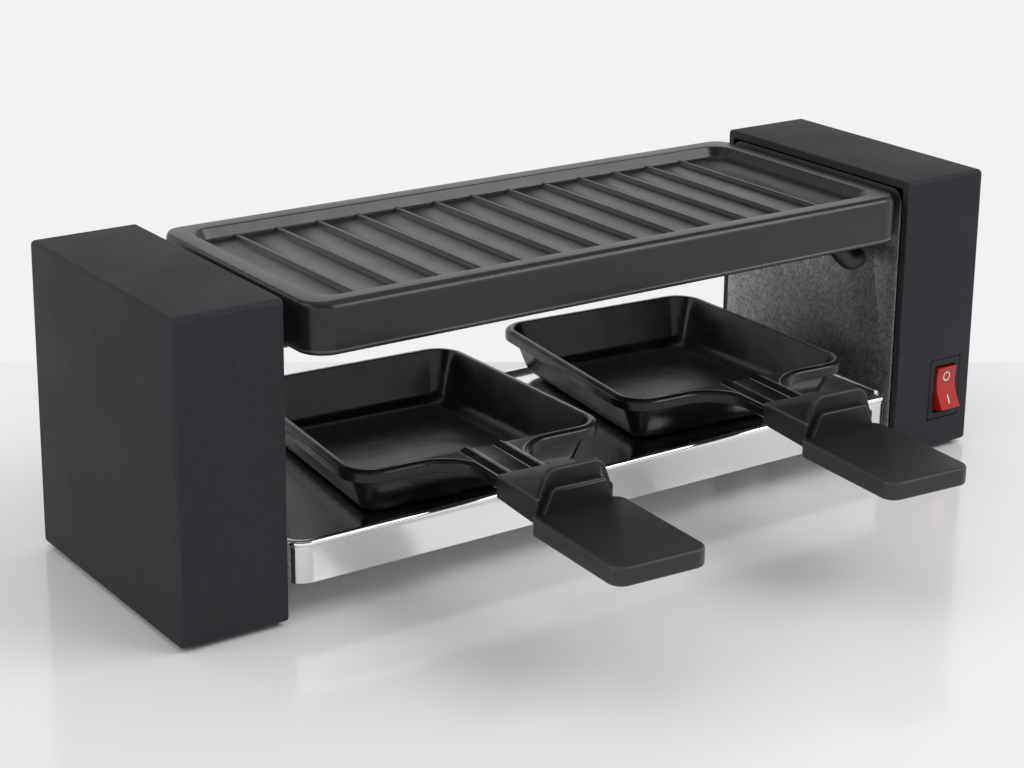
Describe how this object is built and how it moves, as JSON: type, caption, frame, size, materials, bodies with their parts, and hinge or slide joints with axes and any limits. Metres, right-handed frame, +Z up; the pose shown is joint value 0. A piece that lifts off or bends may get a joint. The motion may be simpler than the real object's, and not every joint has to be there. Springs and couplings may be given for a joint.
{
  "type": "raclette grill",
  "caption": "Small electric table grill: a ribbed plate over an open bay with long-handled pans on a bright tray, between boxy end housings, with a rocker switch in front.",
  "frame": {"origin": "middle of the bottom of the whole object, pan handles included, on the plane that the feet stand on", "axes": "+X along the body towards the housing with the switch, +Y from the pan handles to the back, +Z up"},
  "size_m": [0.346, 0.2144, 0.1115],
  "materials": {
    "housing_plastic": "fine matt texture",
    "handle_plastic": "fine matt texture",
    "switch_plastic": "satin",
    "rocker_plastic": "clear red gloss",
    "cast_coating": "black non-stick coating on cast aluminium",
    "pan_coating": "glossy black non-stick coating on sheet steel",
    "tube_coating": "dull black tube sheath",
    "galvanised_sheet": "speckled galvanised sheet",
    "polished_sheet": "polished",
    "screw_steel": "zinc plated",
    "foot_rubber": "matt",
    "ceramic": "unglazed ceramic",
    "terminal_brass": "plain",
    "terminal_plastic": "plain",
    "live_wire": "heat-proof sleeve",
    "neutral_wire": "heat-proof sleeve",
    "earth_wire": "heat-proof sleeve"
  },
  "bodies": {
    "base": {"housing_left": "housing_plastic", "housing_right": "housing_plastic", "side_plate_left": "galvanised_sheet", "side_plate_right": "galvanised_sheet", "base_tray": "polished_sheet", "heating_element": "tube_coating", "element_bracket": "galvanised_sheet", "bracket_rivet": "screw_steel", "element_collar_front": "galvanised_sheet", "element_collar_rear": "galvanised_sheet", "element_insulator_front": "ceramic", "element_insulator_rear": "ceramic", "element_pin_front": "terminal_brass", "element_pin_rear": "terminal_brass", "switch_body": "switch_plastic", "switch_tab_live_low": "terminal_brass", "switch_tab_neutral_low": "terminal_brass", "switch_tab_live_high": "terminal_brass", "switch_tab_neutral_high": "terminal_brass", "terminal_block": "terminal_plastic", "thermal_fuse": "terminal_plastic", "earth_tag": "terminal_brass", "earth_screw": "screw_steel", "cord_gland": "foot_rubber", "wire_live_in": "live_wire", "wire_neutral_in": "neutral_wire", "wire_live_out": "live_wire", "wire_fuse": "live_wire", "wire_neutral_out": "neutral_wire", "wire_earth": "earth_wire", "foot_left_front": "foot_rubber", "foot_left_rear": "foot_rubber", "foot_right_front": "foot_rubber", "foot_right_rear": "foot_rubber", "plate_screw_left_front_low": "screw_steel", "plate_screw_left_front_high": "screw_steel", "plate_screw_left_rear_low": "screw_steel", "plate_screw_left_rear_high": "screw_steel", "plate_screw_right_front_low": "screw_steel", "plate_screw_right_front_high": "screw_steel", "plate_screw_right_rear_low": "screw_steel", "plate_screw_right_rear_high": "screw_steel", "tray_screw_left_front": "screw_steel", "tray_screw_left_rear": "screw_steel", "tray_screw_right_front": "screw_steel", "tray_screw_right_rear": "screw_steel"},
    "plate": {"grill_plate": "cast_coating"},
    "left_pan": {"pan_left": "pan_coating", "handle_left": "handle_plastic", "handle_screw_left": "screw_steel"},
    "right_pan": {"pan_right": "pan_coating", "handle_right": "handle_plastic", "handle_screw_right": "screw_steel"},
    "rocker": {"switch_rocker": "rocker_plastic"}
  },
  "joints": [
    {"name": "plate_lift", "type": "slide", "parent": "base", "child": "plate", "axis": [0, 0, 1], "range_m": [0, 0.06]},
    {"name": "left_pan_draw", "type": "slide", "parent": "base", "child": "left_pan", "axis": [-0.0506, -0.9646, 0.2588], "range_m": [0, 0.13]},
    {"name": "right_pan_draw", "type": "slide", "parent": "base", "child": "right_pan", "axis": [-0.0674, -0.9636, 0.2588], "range_m": [0, 0.13]},
    {"name": "rocker_tilt", "type": "hinge", "parent": "base", "child": "rocker", "pos_m": [0.1592, -0.00011, 0.0254], "axis": [1, 0, 0], "range_deg": [0, 22]}
  ]
}
